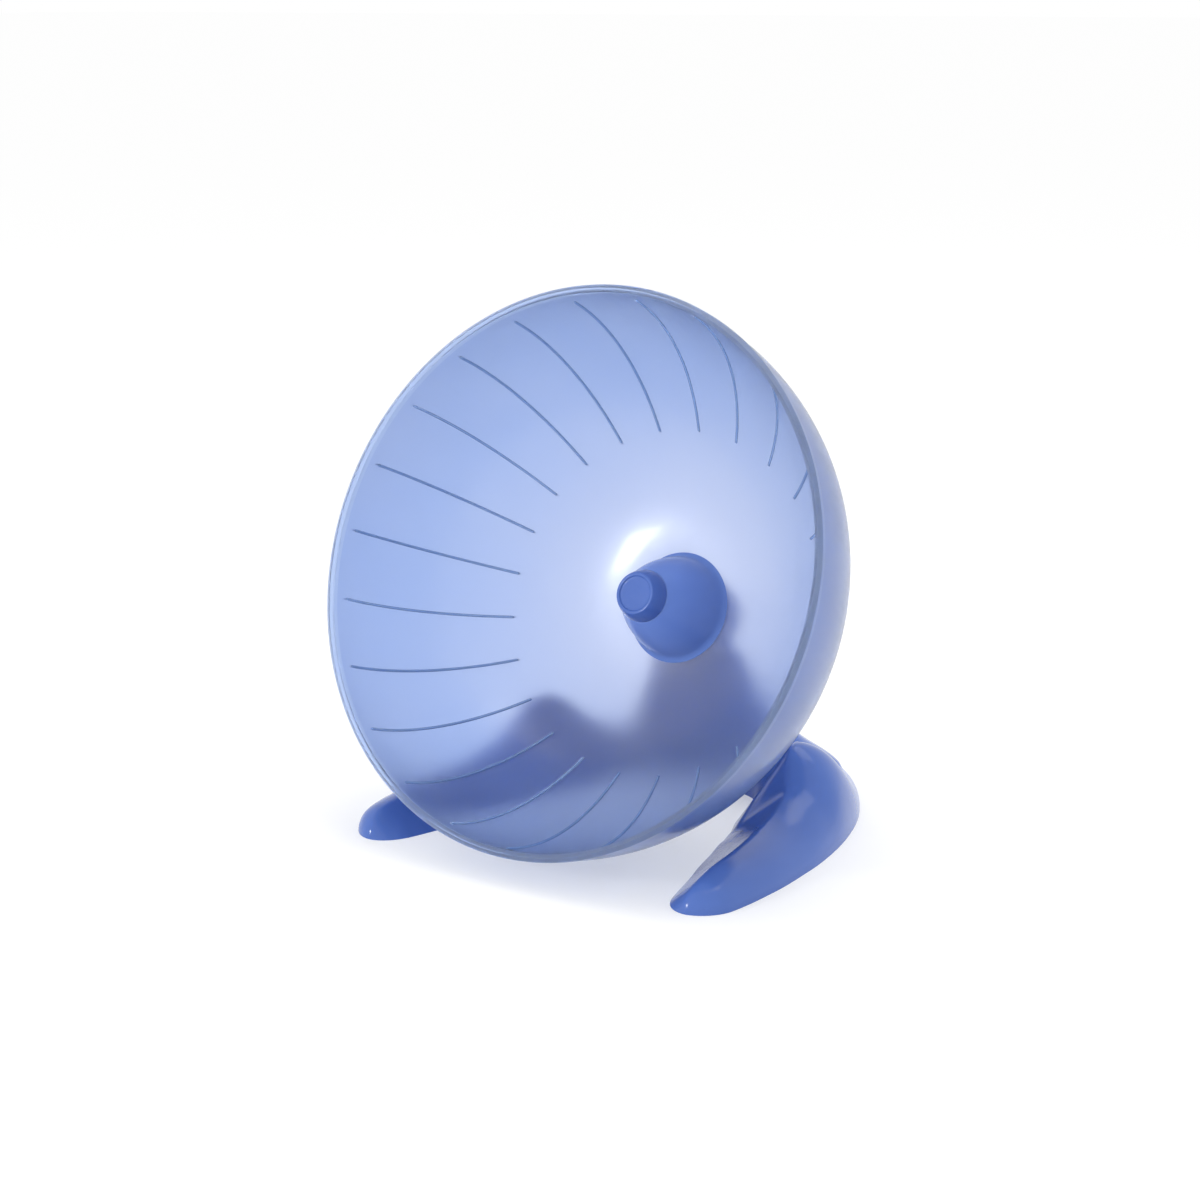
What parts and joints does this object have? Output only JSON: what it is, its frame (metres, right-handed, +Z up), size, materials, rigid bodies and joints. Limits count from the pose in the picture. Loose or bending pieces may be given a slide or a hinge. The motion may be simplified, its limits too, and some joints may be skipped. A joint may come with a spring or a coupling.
{
  "type": "rodent exercise wheel",
  "caption": "Tilted translucent running bowl with low ribs, turning on ball bearings behind a nose cone, on a low moulded stand with two splayed legs.",
  "frame": {"origin": "on the floor plane, under the middle of the object's bounding box", "axes": "+Z up; the bowl opens towards -Y and its axis leans back 21 degrees from level; +X to the right of a viewer who faces the open bowl and looks along +Y"},
  "size_m": [0.1998, 0.184, 0.1962],
  "materials": {
    "wheel_plastic": "smooth translucent milky periwinkle plastic, glossy inside and out",
    "stand_plastic": "smooth glossy solid mid-blue moulded plastic",
    "zinc_steel": "zinc-plated steel, slightly dull",
    "bearing_steel": "ground and polished bearing steel",
    "shield_steel": "pressed sheet steel, satin",
    "spring_steel": "blackened spring steel",
    "cage_plastic": "natural nylon, matt"
  },
  "bodies": {
    "stand": {"stand_shell": "stand_plastic", "axle_bolt": "zinc_steel", "bolt_washer": "zinc_steel", "clamp_nut": "zinc_steel", "rear_spacer_washer": "zinc_steel", "rear_inner_ring": "bearing_steel", "inner_ring_sleeve": "zinc_steel", "front_inner_ring": "bearing_steel", "front_spacer_washer": "zinc_steel", "lock_nut": "zinc_steel", "rear_plug": "stand_plastic"},
    "wheel": {"wheel_bowl": "wheel_plastic", "bearing_clip": "spring_steel", "nose_cone": "stand_plastic", "nose_cap": "stand_plastic", "front_outer_ring": "bearing_steel", "rear_outer_ring": "bearing_steel", "front_bearing_shields": "shield_steel", "rear_bearing_shields": "shield_steel"},
    "front_ball_set": {"front_bearing_cage": "cage_plastic", "front_bearing_balls": "bearing_steel"},
    "rear_ball_set": {"rear_bearing_cage": "cage_plastic", "rear_bearing_balls": "bearing_steel"}
  },
  "joints": [
    {"name": "wheel_spin", "type": "hinge", "parent": "stand", "child": "wheel", "pos_m": [0, -0.05572, 0.10293], "axis": [0, -0.9336, 0.3584], "continuous": true},
    {"name": "front_ball_set_spin", "type": "hinge", "parent": "stand", "child": "front_ball_set", "pos_m": [0, -0.05572, 0.10293], "axis": [0, -0.9336, 0.3584], "continuous": true},
    {"name": "rear_ball_set_spin", "type": "hinge", "parent": "stand", "child": "rear_ball_set", "pos_m": [0, -0.05572, 0.10293], "axis": [0, -0.9336, 0.3584], "continuous": true}
  ],
  "couplings": [
    {"joint": "front_ball_set_spin", "follows": "wheel_spin", "ratio": 0.64113},
    {"joint": "rear_ball_set_spin", "follows": "wheel_spin", "ratio": 0.64113}
  ]
}
